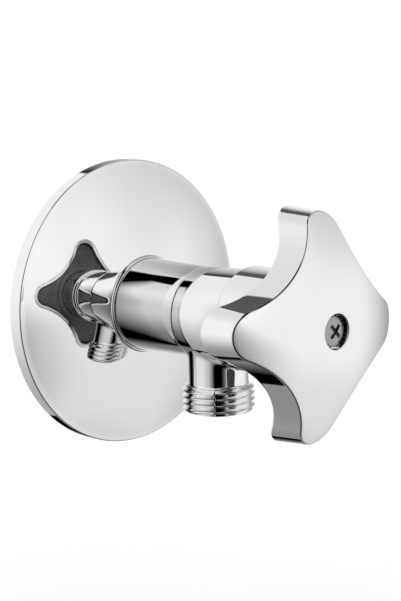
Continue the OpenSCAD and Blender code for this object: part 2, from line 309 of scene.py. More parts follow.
def thread_rows(shell, place, angles, low, high, sense, limit):
    """
    A helical thread between the stations low and high. Its rows follow the helix, and the rows past
    the ends lie on the end planes. place(radius, station, angle) gives a point, sense is +1 or -1
    for the way the helix climbs, and limit(station) is the largest radius there.
    """
    turns = int((high - low) / PITCH) + 2
    count = turns * ROWS_PER_TURN
    columns = []
    for angle in angles:
        column = []
        for i in range(-ROWS_PER_TURN, count + 1):
            raw = low + PITCH * (i / ROWS_PER_TURN + sense * angle / math.tau)
            station = min(max(raw, low), high)
            height = whitworth((station - low) / PITCH - sense * angle / math.tau)
            radius = min(ROOT_R + (CREST_R - ROOT_R) * height, limit(station))
            column.append(place(radius, station, angle))
        columns.append(shell.row(column))
    rows = len(columns[0])
    for j, here in enumerate(columns):
        wrap = j == len(columns) - 1
        there = columns[0] if wrap else columns[j + 1]
        shift = ROWS_PER_TURN * sense if wrap else 0
        for i in range(rows - 1):
            a = min(max(i + shift, 0), rows - 1)
            b = min(max(i + 1 + shift, 0), rows - 1)
            if (here[i], here[i + 1]) != (there[a], there[b]):
                shell.face(here[i], here[i + 1], there[b], there[a])


# ---------------------------------------------------------------------------
# Valve body
# ---------------------------------------------------------------------------
def barrel_radius(s):
    """Outer radius of the body: a straight seat, a taper to the waist, a small step and a flare."""
    if s <= STRAIGHT_S:
        return BARREL_R
    if s <= WAIST_S:
        return BARREL_R + (WAIST_R - BARREL_R) * (s - STRAIGHT_S) / (WAIST_S - STRAIGHT_S)
    step = min((s - WAIST_S) / WAIST_STEP_LENGTH, 1.0)
    start = WAIST_R + WAIST_STEP * step * step * (3 - 2 * step)
    return start + (FRONT_R - WAIST_R - WAIST_STEP) * (s - WAIST_S) / (FRONT_S - WAIST_S)


def chamber_radius(_s):
    """Radius of the chamber, which is the same at every station."""
    return CHAMBER_R


def column_turns():
    return [math.tau * i / COLUMNS for i in range(COLUMNS)]


def patch_border(stations):
    """The border of the open patch as (station row, column offset) pairs, once round."""
    last = len(stations) - 1
    half = PATCH_HALF
    border = [(last, k) for k in range(-half, half)]
    border += [(i, half) for i in range(last, 0, -1)]
    border += [(0, k) for k in range(half, -half, -1)]
    border += [(i, -half) for i in range(0, last)]
    return border


def border_angles(stations, border, radius_at):
    """Direction of each point of the border in the plan of the outlet, from the handle's side."""
    angles = []
    for i, k in border:
        across = radius_at(stations[i]) * math.tau * k / COLUMNS
        angles.append(math.atan2(across, stations[i] - OUTLET_S))
    return angles


def pierced(shell, rows, stations, border, angles, radius_at, hole_r, blend, drop):
    """
    Fills the patch that was left open in the rows of a tube. Its inner edge is a curve round the
    outlet that runs down into a neck of radius hole_r. Returns the neck's first row.
    """
    def surface(distance, angle):
        x = distance * math.sin(angle)
        s = OUTLET_S + distance * math.cos(angle)
        return s, math.asin(x / radius_at(s))

    def on_tube(distance, angle):
        s, turn = surface(distance, angle)
        return on_axis(radius_at(s), s, turn)

    previous = [rows[i][k % COLUMNS] for i, k in border]
    border_at = [(stations[i], math.tau * k / COLUMNS) for i, k in border]
    inner_at = [surface(hole_r + blend, a) for a in angles]
    for step in range(1, PATCH_RINGS + 1):
        f = (step / PATCH_RINGS) ** 0.9
        points = []
        for (s0, t0), (s1, t1) in zip(border_at, inner_at):
            s, t = s0 + (s1 - s0) * f, t0 + (t1 - t0) * f
            points.append(on_axis(radius_at(s), s, t))
        row = shell.row(points)
        shell.bridge(previous, row)
        previous = row
    for step in range(1, BLEND_RINGS + 1):
        row = shell.row([
            blend_point(on_tube, a, hole_r, blend, drop, step / BLEND_RINGS) for a in angles
        ])
        shell.bridge(previous, row)
        previous = row
    return previous


def blend_point(on_tube, angle, hole_r, blend, drop, f):
    """A point of the Bezier curve that leaves the tube's surface smoothly and ends straight down."""
    nearby = 0.05
    start = on_tube(hole_r + blend, angle)
    slope = (start - on_tube(hole_r + blend + nearby, angle)).normalized()
    inner = on_tube(hole_r, angle)
    outward = Vector((math.sin(angle), -math.cos(angle), 0))
    end = Vector((outward.x * hole_r, -OUTLET_S + outward.y * hole_r, inner.z - drop))
    reach = (end - start).length * BLEND_REACH
    p1 = start + slope * reach
    p2 = end + Vector((0, 0, reach))
    g = 1 - f
    return start * g ** 3 + p1 * 3 * g * g * f + p2 * 3 * g * f * f + end * f ** 3


def outlet_ring(radius, depth, angles):
    return [Vector((radius * math.sin(a), -OUTLET_S - radius * math.cos(a), -depth)) for a in angles]


def outlet_point(radius, depth, angle):
    return outlet_ring(radius, depth, [angle])[0]


def outlet_limit(depth):
    """Largest radius of the outlet's thread: it runs out at both ends."""
    return min(ROOT_R + (depth - OUTLET_THREAD_TOP) * 1.3, OUTLET_THREAD_END_R + (OUTLET_END - depth))


def nipple_limit(s):
    """Largest radius of the inlet's thread: it runs out at both ends."""
    return min(ROOT_R - 0.5 + (s - NIPPLE_END_S), SEAL_GROOVE_R + 2 * (NIPPLE_THREAD_TOP_S - s))


def tube(shell, profile):
    turns = column_turns()
    return [shell.row(ring(r, s, turns)) for r, s in profile]


def join_tube(shell, rows, first, last):
    """Bridges rows. From the row first to the row last the columns near the outlet stay open."""
    open_columns = set(range(COLUMNS - PATCH_HALF, COLUMNS)) | set(range(PATCH_HALF))
    for i, (a, b) in enumerate(zip(rows, rows[1:])):
        shell.bridge(a, b, skip=open_columns if first <= i < last else ())


def barrel_stations():
    """Stations of the patch's rows on the barrel, closer together at the waist's small step."""
    near_waist = [WAIST_S + d for d in (-0.4, -0.15, 0, 0.12, 0.25, 0.38, 0.5, 0.8)]
    stations = [PATCH_LOW_S] + between(PATCH_LOW_S, near_waist[0], 7) + near_waist
    return stations + between(near_waist[-1], PATCH_HIGH_S, 15) + [PATCH_HIGH_S]


def chamber_stations(count):
    """Stations of the patch's rows on the chamber's wall, from the headwork back to the seat."""
    stations = [CHAMBER_LOW_S] + between(CHAMBER_LOW_S, CHAMBER_HIGH_S, count - 2)
    return [CHAMBER_HIGH_S] + stations[::-1]


def body_outside(stations):
    """The profile from the shoulder to the headwork's bore, and the index of its first patch row."""
    shoulder = rounded([
        (SEAL_GROOVE_R, NIPPLE_THREAD_TOP_S, 0),
        (SEAL_GROOVE_R, SHOULDER_S, 0.3),
        (BARREL_R, SHOULDER_S, 0.6),
        (BARREL_R, STRAIGHT_S, 0),
    ])
    before = [(barrel_radius(s), s) for s in between(STRAIGHT_S, PATCH_LOW_S, 12)]
    patch = [(barrel_radius(s), s) for s in stations]
    front = rounded([
        (barrel_radius(PATCH_HIGH_S), PATCH_HIGH_S, 0),
        (FRONT_R, FRONT_S, 0.35),
        (RECESS_R, FRONT_S, 0.2),
        (RECESS_R, RECESS_S, 0),
        (HEADWORK_BORE_R, RECESS_S, 0),
        (HEADWORK_BORE_R, HEADWORK_BORE_S, 0),
    ])[1:]
    return shoulder + before + patch + front, len(shoulder) + len(before)


def body_inside(stations):
    """The profile of the chamber, the seat and the waterway, back to the nipple's end."""
    return [(CHAMBER_R, s) for s in stations] + [
        (CHAMBER_R, SEAT_TOP_S),
        (SEAT_RING_R, SEAT_TOP_S),
        (SEAT_RING_R, SEAT_POCKET_S),
        (SEAT_HOLE_R, SEAT_POCKET_S),
        (SEAT_HOLE_R, SEAT_WEB_S),
        (BARREL_BORE_R, SEAT_WEB_S),
        (BARREL_BORE_R, BARREL_BORE_S + 1.6),
        (NIPPLE_BORE_R, BARREL_BORE_S),
        (NIPPLE_BORE_R, NIPPLE_END_S + 0.4),
        (NIPPLE_BORE_R + 0.4, NIPPLE_END_S),
        (ROOT_R - 0.5, NIPPLE_END_S),
    ]


def add_outlet(shell, outer_rows, outer_stations, inner_rows, inner_stations):
    """The blend with the barrel, the neck, the thread, the end face and the bore."""
    border = patch_border(outer_stations)
    angles = border_angles(outer_stations, border, barrel_radius)
    neck_top = pierced(shell, outer_rows, outer_stations, border, angles, barrel_radius,
                       NECK_R, NECK_BLEND, NECK_BLEND_DROP)
    flare = rounded([
        (NECK_R, NECK_FLARE_TOP, 0),
        (NECK_R, OUTLET_THREAD_TOP - 0.1, 0.5),
        (ROOT_R, OUTLET_THREAD_TOP, 0),
    ])
    neck = shell.loft([outlet_ring(r, d, angles) for r, d in flare])
    shell.bridge(neck_top, neck[0])
    thread_rows(shell, outlet_point, angles, OUTLET_THREAD_TOP, OUTLET_END, -1, outlet_limit)
    end = rounded([
        (ROOT_R, OUTLET_END, 0),
        (OUTLET_BORE_R, OUTLET_END, 0.5),
        (OUTLET_BORE_R, OUTLET_BORE_TOP, 0),
    ])
    bore = shell.loft([outlet_ring(r, d, angles) for r, d in end])
    inner_border = [(len(inner_stations) - 1 - i, k) for i, k in border]
    hole = pierced(shell, inner_rows, inner_stations, inner_border, angles, chamber_radius,
                   OUTLET_BORE_R, 0.3, 0.3)
    shell.bridge(hole, bore[-1])


def make_valve_body():
    shell = Shell()
    outer_stations = barrel_stations()
    patch_rows = len(outer_stations)
    inner_stations = chamber_stations(patch_rows)
    profile, start = body_outside(outer_stations)
    outside = tube(shell, profile)
    join_tube(shell, outside, start, start + patch_rows - 1)
    inside = tube(shell, body_inside(inner_stations))
    join_tube(shell, inside, 0, patch_rows - 1)
    shell.bridge(outside[-1], inside[0])
    thread_rows(shell, on_axis, column_turns(), NIPPLE_END_S, NIPPLE_THREAD_TOP_S, 1, nipple_limit)
    add_outlet(shell, outside[start:start + patch_rows], outer_stations,
               inside[:patch_rows], inner_stations)
    return shell.build("valve_body_chrome")


# ---------------------------------------------------------------------------
# Rosette
# ---------------------------------------------------------------------------
def crown_drop(r):
    """Drop of the rounded outer face below the cone's foot."""
    centre_r = CROWN_FOOT_R - CROWN_R * math.sin(CONE_SLOPE)
    return CROWN_R * math.cos(CONE_SLOPE) - math.sqrt(CROWN_R ** 2 - (r - centre_r) ** 2)


def cone_height(r):
    """Height over the wall of the rosette's shallow cone, which rounds over towards the rim."""
    foot_s = RIM_S + crown_drop(RIM_R - RIM_EDGE)
    if r > CROWN_FOOT_R:
        return foot_s - crown_drop(r)
    return foot_s + (CROWN_FOOT_R - r) * math.tan(CONE_SLOPE)


def rosette_height(r):
    """Height of the rosette's face: the cone, very slightly flatter towards the barrel."""
    inward = max(CROWN_FOOT_R - r, 0)
    return cone_height(r) - inward ** 2 / (2 * INNER_CROWN_R)


def rosette_rim():
    """The rim's straight wall and its rounded edge, up to where the face begins."""
    face_r = RIM_R - RIM_EDGE - 1.0
    return rounded([
        (RIM_R - SHEET, 0.0, 0),
        (RIM_R - 0.02, 0.0, 0.12),
        (RIM_R, 1.0, 0),
        (RIM_R, rosette_height(RIM_R) + 0.1, 0.5),
        (face_r, rosette_height(face_r), 0),
    ])


def rosette_throat():
    """The small fillet between the face and the lip."""
    base_r = LIP_R + LIP_FILLET
    return rounded([
        (base_r + 0.4, rosette_height(base_r + 0.4), 0),
        (LIP_R, rosette_height(base_r) + LIP_FILLET * 0.15, LIP_FILLET),
        (LIP_R, LIP_S, 0),
    ], 8)[:-1]


def rosette_lip(start):
    return rounded([
        start + (0,),
        (LIP_R, LIP_S, 0.15),
        (LIP_BORE_R, LIP_S, 0.1),
        (LIP_BORE_R, cone_height(LIP_BORE_R) - 0.2, 0.3),
        (LIP_BORE_R + SHEET, cone_height(LIP_BORE_R + SHEET) - SHEET, 0),
    ])[1:]


def rosette_back():
    """The hidden side, one sheet thickness under the cone, out to the inside of the rim."""
    inner_r = RIM_R - SHEET
    back = [(r, cone_height(r) - SHEET) for r in between(LIP_BORE_R + SHEET, inner_r - RIM_CORNER, 20)]
    corner = rounded([
        back[-1] + (0,),
        (inner_r, cone_height(inner_r) - SHEET, 0.8),
        (inner_r, 0.0, 0),
    ])[1:-1]
    return back + corner


def make_rosette():
    throat = rosette_throat()
    face = [(r, rosette_height(r)) for r in between(RIM_R - RIM_EDGE - 1.0, throat[0][0], 44)]
    profile = rosette_rim() + face + throat + rosette_lip(throat[-1]) + rosette_back()
    return revolve("rosette_chrome", profile, columns=256)


# ---------------------------------------------------------------------------
# Handle
# ---------------------------------------------------------------------------
TIP_STEPS = 30
HOLLOW_STEPS = 34
FACE_STEPS = 30
EDGE_STEPS = 8
QUARTER = [math.pi / 2 * step / 6 for step in range(7)]

# Material indices of the handle: polished outside, and the dull casting inside
POLISHED = 0
CAST = 1


def star_columns():
    """Centre, radius sign and direction of each column of the four-lobed outline."""
    c = math.cos(math.pi / 4)
    k = 2 * HOLLOW_AT - 2 * TIP_AT * c - 2 * TIP_R
    hollow_r = (TIP_R ** 2 - TIP_AT ** 2 - HOLLOW_AT ** 2 + 2 * TIP_AT * HOLLOW_AT * c) / k
    away = HOLLOW_AT + hollow_r
    meet = math.atan2(away * c, away * c - TIP_AT)
    columns = []
    for quarter in range(4):
        turn = quarter * math.pi / 2 + HANDLE_TURN
        tip = Vector((TIP_AT * math.cos(turn), TIP_AT * math.sin(turn)))
        for i in range(TIP_STEPS):
            a = turn - meet + 2 * meet * (i + 0.5) / TIP_STEPS
            columns.append((tip, TIP_R, Vector((math.cos(a), math.sin(a)))))
        middle = turn + math.pi / 4
        hollow = Vector((away * math.cos(middle), away * math.sin(middle)))
        spread = math.pi / 4 - (math.pi / 2 - meet)
        for i in range(HOLLOW_STEPS):
            a = middle + spread * (1 - 2 * (i + 0.5) / HOLLOW_STEPS)
            columns.append((hollow, -hollow_r, Vector((math.cos(a), math.sin(a)))))
    return columns


def star_point(column, inset):
    centre, radius, direction = column
    return centre + direction * (radius - inset)


def ball(r, radius, top):
    """Station of a sphere's surface at the distance r from the axis, with its highest point at top."""
    return top - radius + math.sqrt(radius ** 2 - r ** 2)


def face_at(r):
    return ball(r, FACE_R, FACE_S)


def dish_at(r):
    return ball(r, DISH_R, DISH_S)


def floor_at(r):
    return ball(r, DISH_R + RECESS_DEPTH, DISH_S + RECESS_DEPTH)


def on_handle(p, station):
    return Vector((p.x, -station, p.y))


def circle_point(radius, angle):
    return Vector((radius * math.cos(angle), radius * math.sin(angle)))


def circle_row(radius, station, polar):
    return [on_handle(circle_point(radius, a), station) for a in polar]


def front_edges(columns):
    """
    The circle that rounds each column's front edge touches the dome and the wall: the angle where
    it leaves the dome, and the station of its centre.
    """
    edges = []
    for column in columns:
        p = star_point(column, DRAFT + EDGE)
        r = p.length
        grade = -r / math.sqrt(FACE_R ** 2 - r ** 2) * p.normalized().dot(column[2])
        edges.append((math.atan2(1, -grade), face_at(r) - EDGE * math.sqrt(1 + grade ** 2)))
    return edges


def pocket_rows(polar):
    """The screw's pocket and its rim, from the web outwards."""
    profile = rounded([
        (SCREW_HOLE_R, WEB_S, 0),
        (SCREW_HOLE_R, WEB_TOP_S, 0.2),
        (POCKET_R, WEB_TOP_S, 0.3),
        (POCKET_R, face_at(POCKET_R), 0.35),
        (POCKET_EDGE_R, face_at(POCKET_EDGE_R), 0),
    ], 5)
    return [circle_row(r, s, polar) for r, s in profile]


def face_rows(columns, polar, edges):
    """The domed face."""
    rows = []
    for step in range(1, FACE_STEPS + 1):
        row = []
        for column, angle, (start, _) in zip(columns, polar, edges):
            outer = star_point(column, DRAFT + EDGE - EDGE * math.cos(start))
            p = circle_point(POCKET_EDGE_R, angle).lerp(outer, step / FACE_STEPS)
            row.append(on_handle(p, face_at(p.length)))
        rows.append(row)
    return rows


def edge_rows(columns, edges):
    """The rounded front edge."""
    rows = []
    for step in range(1, EDGE_STEPS + 1):
        row = []
        for column, (start, centre_s) in zip(columns, edges):
            a = start * (1 - step / EDGE_STEPS)
            p = star_point(column, DRAFT + EDGE - EDGE * math.cos(a))
            row.append(on_handle(p, centre_s + EDGE * math.sin(a)))
        rows.append(row)
    return rows


def wall_rows(columns, edges):
    """The side wall, which leans in towards the front by its draft."""
    rows = []
    for f in (0.06, 0.2, 0.35, 0.5, 0.65, 0.8, 0.94):
        row = []
        for column, (_, centre_s) in zip(columns, edges):
            back = dish_at(star_point(column, 0).length) + RIM_ROUND
            row.append(on_handle(star_point(column, DRAFT * (1 - f)), centre_s + (back - centre_s) * f))
        rows.append(row)
    return rows


def rim_rows(columns):
    """The rim round the back, with its two rounded edges."""
    rim = [(RIM_ROUND * (1 - math.cos(a)), RIM_ROUND * (1 - math.sin(a))) for a in QUARTER]
    rim += [(RIM_WIDTH - x, rise) for x, rise in reversed(rim)]
    rows = []
    for inset, rise in rim:
        points = [star_point(column, inset) for column in columns]
        rows.append([on_handle(p, dish_at(p.length) + rise) for p in points])
    return rows


def recess_rows(columns, polar):
    """The recess inside the rim: its wall, its rounded foot, its floor and the disc round the skirt."""
    rows = []
    for f in (0.3, 0.6, 0.85):
        rows.append([
            on_handle(star_point(c, RIM_WIDTH + 0.1 * f),
                      dish_at(star_point(c, RIM_WIDTH).length) + 0.5 + 1.6 * f)
            for c in columns
        ])
    for a in QUARTER:
        inset = RIM_WIDTH + 0.1 + RECESS_ROUND * (1 - math.cos(a))
        points = [star_point(c, inset) for c in columns]
        rows.append([
            on_handle(p, floor_at(p.length) - RECESS_ROUND * (1 - math.sin(a))) for p in points
        ])
    for f in (0.2, 0.4, 0.6, 0.8, 1.0):
        points = [
            star_point(c, RIM_WIDTH + 0.8).lerp(circle_point(DISC_R + 0.3, a), f)
            for c, a in zip(columns, polar)
        ]
        rows.append([on_handle(p, floor_at(p.length)) for p in points])
    disc = ((DISC_R + 0.1, 0.04), (DISC_R, 0.14), (DISC_R - 0.1, 0.3), (DISC_R - 0.3, DISC_RISE))
    return rows + [circle_row(r, floor_at(r) - rise, polar) for r, rise in disc]


def skirt_rows(polar):
    """The skirt, its bore, the boss with the insert's seat, and back to the screw's hole."""
    root = floor_at(SKIRT_R + 1.2) - DISC_RISE
    profile = rounded([
        (DISC_R - 0.3, floor_at(DISC_R) - DISC_RISE, 0),
        (SKIRT_R, root + 0.1, 1.0),
        (SKIRT_R, SKIRT_S, 0.35),
        (SKIRT_BORE_R, SKIRT_S, 0.25),
        (SKIRT_BORE_R, SKIRT_TOP_S, 0.8),
        (BOSS_R, SKIRT_TOP_S, 0.8),
        (BOSS_R, BOSS_S, 0.3),
        (INSERT_R, BOSS_S, 0.2),
        (INSERT_R, WEB_S, 0),
        (SCREW_HOLE_R, WEB_S, 0),
    ])[1:-1]
    rows = []
    for r, s in profile:
        outside = r > SKIRT_BORE_R - 0.01 and s < root - 0.8
        rows.append((circle_row(r, s, polar), POLISHED if outside else CAST))
    return rows


def make_handle():
    columns = star_columns()
    outline = [star_point(c, 0) for c in columns]
    polar = [math.atan2(p.y, p.x) for p in outline]
    edges = front_edges(columns)
    outside = pocket_rows(polar) + face_rows(columns, polar, edges) + edge_rows(columns, edges)
    outside += wall_rows(columns, edges) + rim_rows(columns)
    rows = [(row, POLISHED) for row in outside]
    rows += [(row, CAST) for row in recess_rows(columns, polar)]
    rows += skirt_rows(polar)
    shell = Shell()
    shell.loft([row for row, _ in rows], cyclic=True, finishes=[finish for _, finish in rows])
    return shell.build("handle_chrome")


# ---------------------------------------------------------------------------
# Screw, rings and seals
# ---------------------------------------------------------------------------
def cross_cutter(top):
    """Two bars at right angles, which taper downwards from above the head."""
    cutter = Shell()
    high = top + SCREW_CROWN + 0.5
    low = high - 0.5 - CROSS_DEPTH
    for quarter in (0, 1):
        turn = math.radians(45 + 90 * quarter)
        ends = []
        sections = ((high, CROSS_ARM, CROSS_SLOT), (low, CROSS_ARM * 0.55, CROSS_SLOT * 0.7))
        for s, length, width in sections:
            corners = [(-length, -width), (length, -width), (length, width), (-length, width)]
            ends.append([Vector((x * math.cos(turn) - z * math.sin(turn), -s,
                                 x * math.sin(turn) + z * math.cos(turn))) for x, z in corners])
        rows = cutter.loft(ends)
        cutter.cap(rows[0])
        cutter.cap(rows[1])
    return cutter.build("cross_recess_cutter")


def cut_away(piece, cutter):
    """Takes the cutter's volume out of the piece's mesh, and removes the cutter."""
    cut = piece.modifiers.new("cross_recess", "BOOLEAN")
    cut.operation = "DIFFERENCE"
    cut.object = cutter
    cut.solver = "EXACT"
    cut.use_self = True
    bpy.context.view_layer.update()
    evaluated = piece.evaluated_get(bpy.context.evaluated_depsgraph_get())
    mesh = bpy.data.meshes.new_from_object(evaluated)
    piece.modifiers.clear()
    piece.data = mesh
    mesh.shade_smooth()
    mesh.set_sharp_from_angle(angle=SHARP_ANGLE)
    bpy.data.objects.remove(cutter)


def make_screw():
    """Oval-head screw; the cross recess is cut with a tapered cross."""
    top = SCREW_SEAT_S + SCREW_HEAD_H
    crown_r = (SCREW_HEAD_R ** 2 + SCREW_CROWN ** 2) / (2 * SCREW_CROWN)
    crown = [(r, top + SCREW_CROWN - crown_r + math.sqrt(crown_r ** 2 - r ** 2))
             for r in (SCREW_HEAD_R * (1 - i / 12) for i in range(2, 12))]
    profile = rounded([
        (SCREW_SHANK_R - 0.5, SCREW_END_S, 0),
        (SCREW_SHANK_R, SCREW_END_S + 0.6, 0.1),
        (SCREW_SHANK_R, SCREW_SEAT_S, 0.15),
        (SCREW_HEAD_R, SCREW_SEAT_S, 0.2),
        (SCREW_HEAD_R, top - 0.05, 0.3),
        crown[0] + (0,),
    ])
    screw = revolve("handle_screw_steel", profile + crown[1:], columns=96, cyclic=False)
    cut_away(screw, cross_cutter(top))
    return screw


def make_torus(name, inner_r, section, station):
    """A moulded ring with the faint flash lines of its mould, round its outside and its inside."""
    points = []
    steps = 28
    for i in range(steps):
        a = math.tau * i / steps
        flash = 0.03 if i in (0, steps // 2) else 0.0
        r = section / 2 + flash
        points.append((inner_r + section / 2 + r * math.cos(a), station + r * math.sin(a)))
    return revolve(name, points, columns=160, sharp=math.radians(80))


def make_seal_ring():
    """The inlet's PTFE ring, with rounded outer edges."""
    low = SHOULDER_S - SEAL_RING_H
    inner = SEAL_GROOVE_R + 0.06
    profile = rounded([
        (inner, low, 0),
        (SEAL_OUTER_R, low, 0.35),
        (SEAL_OUTER_R, SHOULDER_S, 0.2),
        (inner, SHOULDER_S, 0),
        (inner, low, 0),
    ])[:-1]
    return revolve("inlet_seal_ring_ptfe", profile)


# ---------------------------------------------------------------------------
# Materials
# ---------------------------------------------------------------------------
def new_material(name):
    material = bpy.data.materials.new(name)
    material.use_nodes = True
    nodes = material.node_tree.nodes
    return material, nodes, material.node_tree.links, nodes["Principled BSDF"]


def noise_node(nodes, links, vector, scale, detail=3.0, roughness=0.5):
    noise = nodes.new("ShaderNodeTexNoise")
    noise.inputs["Scale"].default_value = scale
    noise.inputs["Detail"].default_value = detail
    noise.inputs["Roughness"].default_value = roughness
    links.new(vector, noise.inputs["Vector"])
    return noise


def map_range(nodes, links, value, low, high, from_low=0.0, from_high=1.0):
    node = nodes.new("ShaderNodeMapRange")
    node.inputs["From Min"].default_value = from_low
    node.inputs["From Max"].default_value = from_high
    node.inputs["To Min"].default_value = low
    node.inputs["To Max"].default_value = high
    links.new(value, node.inputs["Value"])
    return node.outputs["Result"]


def ramp(nodes, links, value, low_colour, high_colour, low=0.0, high=1.0):
    node = nodes.new("ShaderNodeValToRGB")
    node.color_ramp.elements[0].position = low
    node.color_ramp.elements[0].color = low_colour + (1,)
    node.color_ramp.elements[1].position = high
    node.color_ramp.elements[1].color = high_colour + (1,)
    links.new(value, node.inputs["Fac"])
    return node.outputs["Color"]


def bump(nodes, links, height, distance, strength=1.0, normal=None):
    node = nodes.new("ShaderNodeBump")
    node.inputs["Strength"].default_value = strength
    node.inputs["Distance"].default_value = distance
    links.new(height, node.inputs["Height"])
    if normal is not None:
        links.new(normal, node.inputs["Normal"])
    return node.outputs["Normal"]


def polished_metal(name, light, dark, rough_low, rough_high, wave, scratch):
    """
    Plated or machined metal: a slow waviness left by polishing, fine wipe marks in the roughness
    and a colour that varies a little with the plating.
    """
    material, nodes, links, shader = new_material(name)
    place = nodes.new("ShaderNodeTexCoord").outputs["Object"]
    slow = noise_node(nodes, links, place, 55.0, 2.0)
    fine = noise_node(nodes, links, place, 900.0, 4.0, 0.6)
    stretch = nodes.new("ShaderNodeMapping")
    stretch.inputs["Scale"].default_value = (1.0, 0.08, 1.0)
    stretch.inputs["Rotation"].default_value = (0.0, 0.3, 0.6)
    links.new(place, stretch.inputs["Vector"])
    wipes = noise_node(nodes, links, stretch.outputs["Vector"], 2600.0, 3.0, 0.7)
    shader.inputs["Metallic"].default_value = 1.0
    colour = ramp(nodes, links, slow.outputs["Fac"], dark, light, 0.3, 0.7)
    links.new(colour, shader.inputs["Base Color"])
    mixed = nodes.new("ShaderNodeMath")
    mixed.operation = "MULTIPLY"
    links.new(fine.outputs["Fac"], mixed.inputs[0])
    links.new(wipes.outputs["Fac"], mixed.inputs[1])
    links.new(map_range(nodes, links, mixed.outputs["Value"], rough_low, rough_high, 0.15, 0.4),
              shader.inputs["Roughness"])
    waves = bump(nodes, links, slow.outputs["Fac"], wave)
    links.new(bump(nodes, links, wipes.outputs["Fac"], scratch, 1.0, waves), shader.inputs["Normal"])
    return material


def moulded(name, light, dark, rough_low, rough_high, grain, scale):
    """Rubber or plastic: a fine moulded grain with slightly uneven colour and gloss."""
    material, nodes, links, shader = new_material(name)
    place = nodes.new("ShaderNodeTexCoord").outputs["Object"]
    slow = noise_node(nodes, links, place, scale * 0.1, 3.0)
    fine = noise_node(nodes, links, place, scale, 5.0, 0.65)
    colour = ramp(nodes, links, slow.outputs["Fac"], dark, light, 0.3, 0.75)
    links.new(colour, shader.inputs["Base Color"])
    links.new(map_range(nodes, links, fine.outputs["Fac"], rough_low, rough_high),
              shader.inputs["Roughness"])
    links.new(bump(nodes, links, fine.outputs["Fac"], grain), shader.inputs["Normal"])
    return material


CHROME = polished_metal("chrome_plate", (0.93, 0.935, 0.94), (0.90, 0.905, 0.915),
                        0.012, 0.035, 0.000004, 0.0000001)
HANDLE_CHROME = polished_metal("handle_chrome", (0.93, 0.935, 0.94), (0.90, 0.905, 0.915),
                               0.015, 0.05, 0.000006, 0.0000002)
BRASS = polished_metal("brass", (0.83, 0.66, 0.36), (0.72, 0.53, 0.25),
                       0.18, 0.42, 0.00002, 0.000004)
BRONZE = polished_metal("spindle_bronze", (0.76, 0.52, 0.33), (0.64, 0.41, 0.24),
                        0.16, 0.38, 0.00002, 0.000004)
STEEL = polished_metal("steel", (0.47, 0.47, 0.465), (0.34, 0.34, 0.335),
                       0.22, 0.45, 0.00001, 0.000006)
RUBBER = moulded("rubber", (0.045, 0.045, 0.047), (0.02, 0.02, 0.021), 0.45, 0.7, 0.00003, 3000.0)
DULL_CASTING = polished_metal("dull_casting", (0.20, 0.20, 0.205), (0.15, 0.15, 0.155),
                              0.35, 0.6, 0.00002, 0.00001)
PTFE = moulded("ptfe", (0.86, 0.86, 0.84), (0.78, 0.78, 0.76), 0.35, 0.55, 0.00001, 1500.0)
BY_SLOT = {
    "chrome_plate": CHROME, "handle_chrome": HANDLE_CHROME, "brass": BRASS,
    "spindle_bronze": BRONZE, "steel": STEEL, "rubber": RUBBER, "ptfe": PTFE,
}


def finish_piece(piece, body, slot, *nodes):
    """Rides a detailed piece on its body in place of the CAD nodes it stands for."""
    piece.data.materials.append(BY_SLOT[slot])
    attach(piece, body)
    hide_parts(*nodes)


def finish_handle():
    """The handle is polished outside and on its rim; inside the recess it's the dull casting."""
    handle = make_handle()
    finish_piece(handle, "handle", "handle_chrome", "handle")
    handle.data.materials.append(DULL_CASTING)


def paint_cad_nodes():
    """Gives each CAD node that stays visible the procedural material of its slot."""
    for entry in frame["record"]["subparts"]:
        node = frame["nodes"][entry["node"]]
        for slot in node.material_slots:
            slot.material = BY_SLOT[entry["material_slot"]]
        if not node.material_slots:
            node.data.materials.append(BY_SLOT[entry["material_slot"]])


# ---------------------------------------------------------------------------
# Camera, floor and studio
# ---------------------------------------------------------------------------
CAMERA_AZ = math.radians(-44.10)
CAMERA_EL = math.radians(9.26)
CAMERA_ROLL = math.radians(1.36)
CAMERA_DISTANCE = 0.430
CAMERA_TARGET = Vector((-0.00774, -0.0420, 0.00504))
CAMERA_LENS = 91.64
SENSOR = 36.0
TENT_RADIUS = 0.36
TENT_CENTRE = (0.0, -0.045, 0.0)


def make_camera():
    """The photo's viewpoint, fitted to the valve's outlines."""
    level = math.cos(CAMERA_EL)
    back = Vector((math.sin(CAMERA_AZ) * level, -math.cos(CAMERA_AZ) * level, math.sin(CAMERA_EL)))
    right = Vector((math.cos(CAMERA_AZ), math.sin(CAMERA_AZ), 0))
    up = back.cross(right)
    turned_right = right * math.cos(CAMERA_ROLL) - up * math.sin(CAMERA_ROLL)
    turned_up = right * math.sin(CAMERA_ROLL) + up * math.cos(CAMERA_ROLL)
    data = bpy.data.cameras.new("camera")
    data.sensor_width = SENSOR
    data.lens = CAMERA_LENS
    data.clip_start, data.clip_end = 0.01, 20.0
    camera = bpy.data.objects.new("camera", data)
    axes = Matrix((turned_right, turned_up, back)).transposed().to_4x4()
    camera.matrix_world = Matrix.Translation(CAMERA_TARGET + back * CAMERA_DISTANCE) @ axes
    bpy.context.scene.collection.objects.link(camera)
    bpy.context.scene.camera = camera


def make_floor():
    """A plain pale floor, some way below the valve, which hangs on its wall fitting."""
    drop = 0.06
    size = 3.0
    level = CAD_BOX[0].z - drop
    mesh = bpy.data.meshes.new("floor")
    corners = [(-size, -size, level), (size, -size, level), (size, size, level), (-size, size, level)]
    mesh.from_pydata(corners, [], [(0, 1, 2, 3)])
    floor = bpy.data.objects.new("floor", mesh)
    bpy.context.scene.collection.objects.link(floor)
    material, _, _, shader = new_material("pale_floor")
    shader.inputs["Base Color"].default_value = (0.9, 0.9, 0.9, 1)
    shader.inputs["Roughness"].default_value = 0.9
    mesh.materials.append(material)
    floor.visible_glossy = False


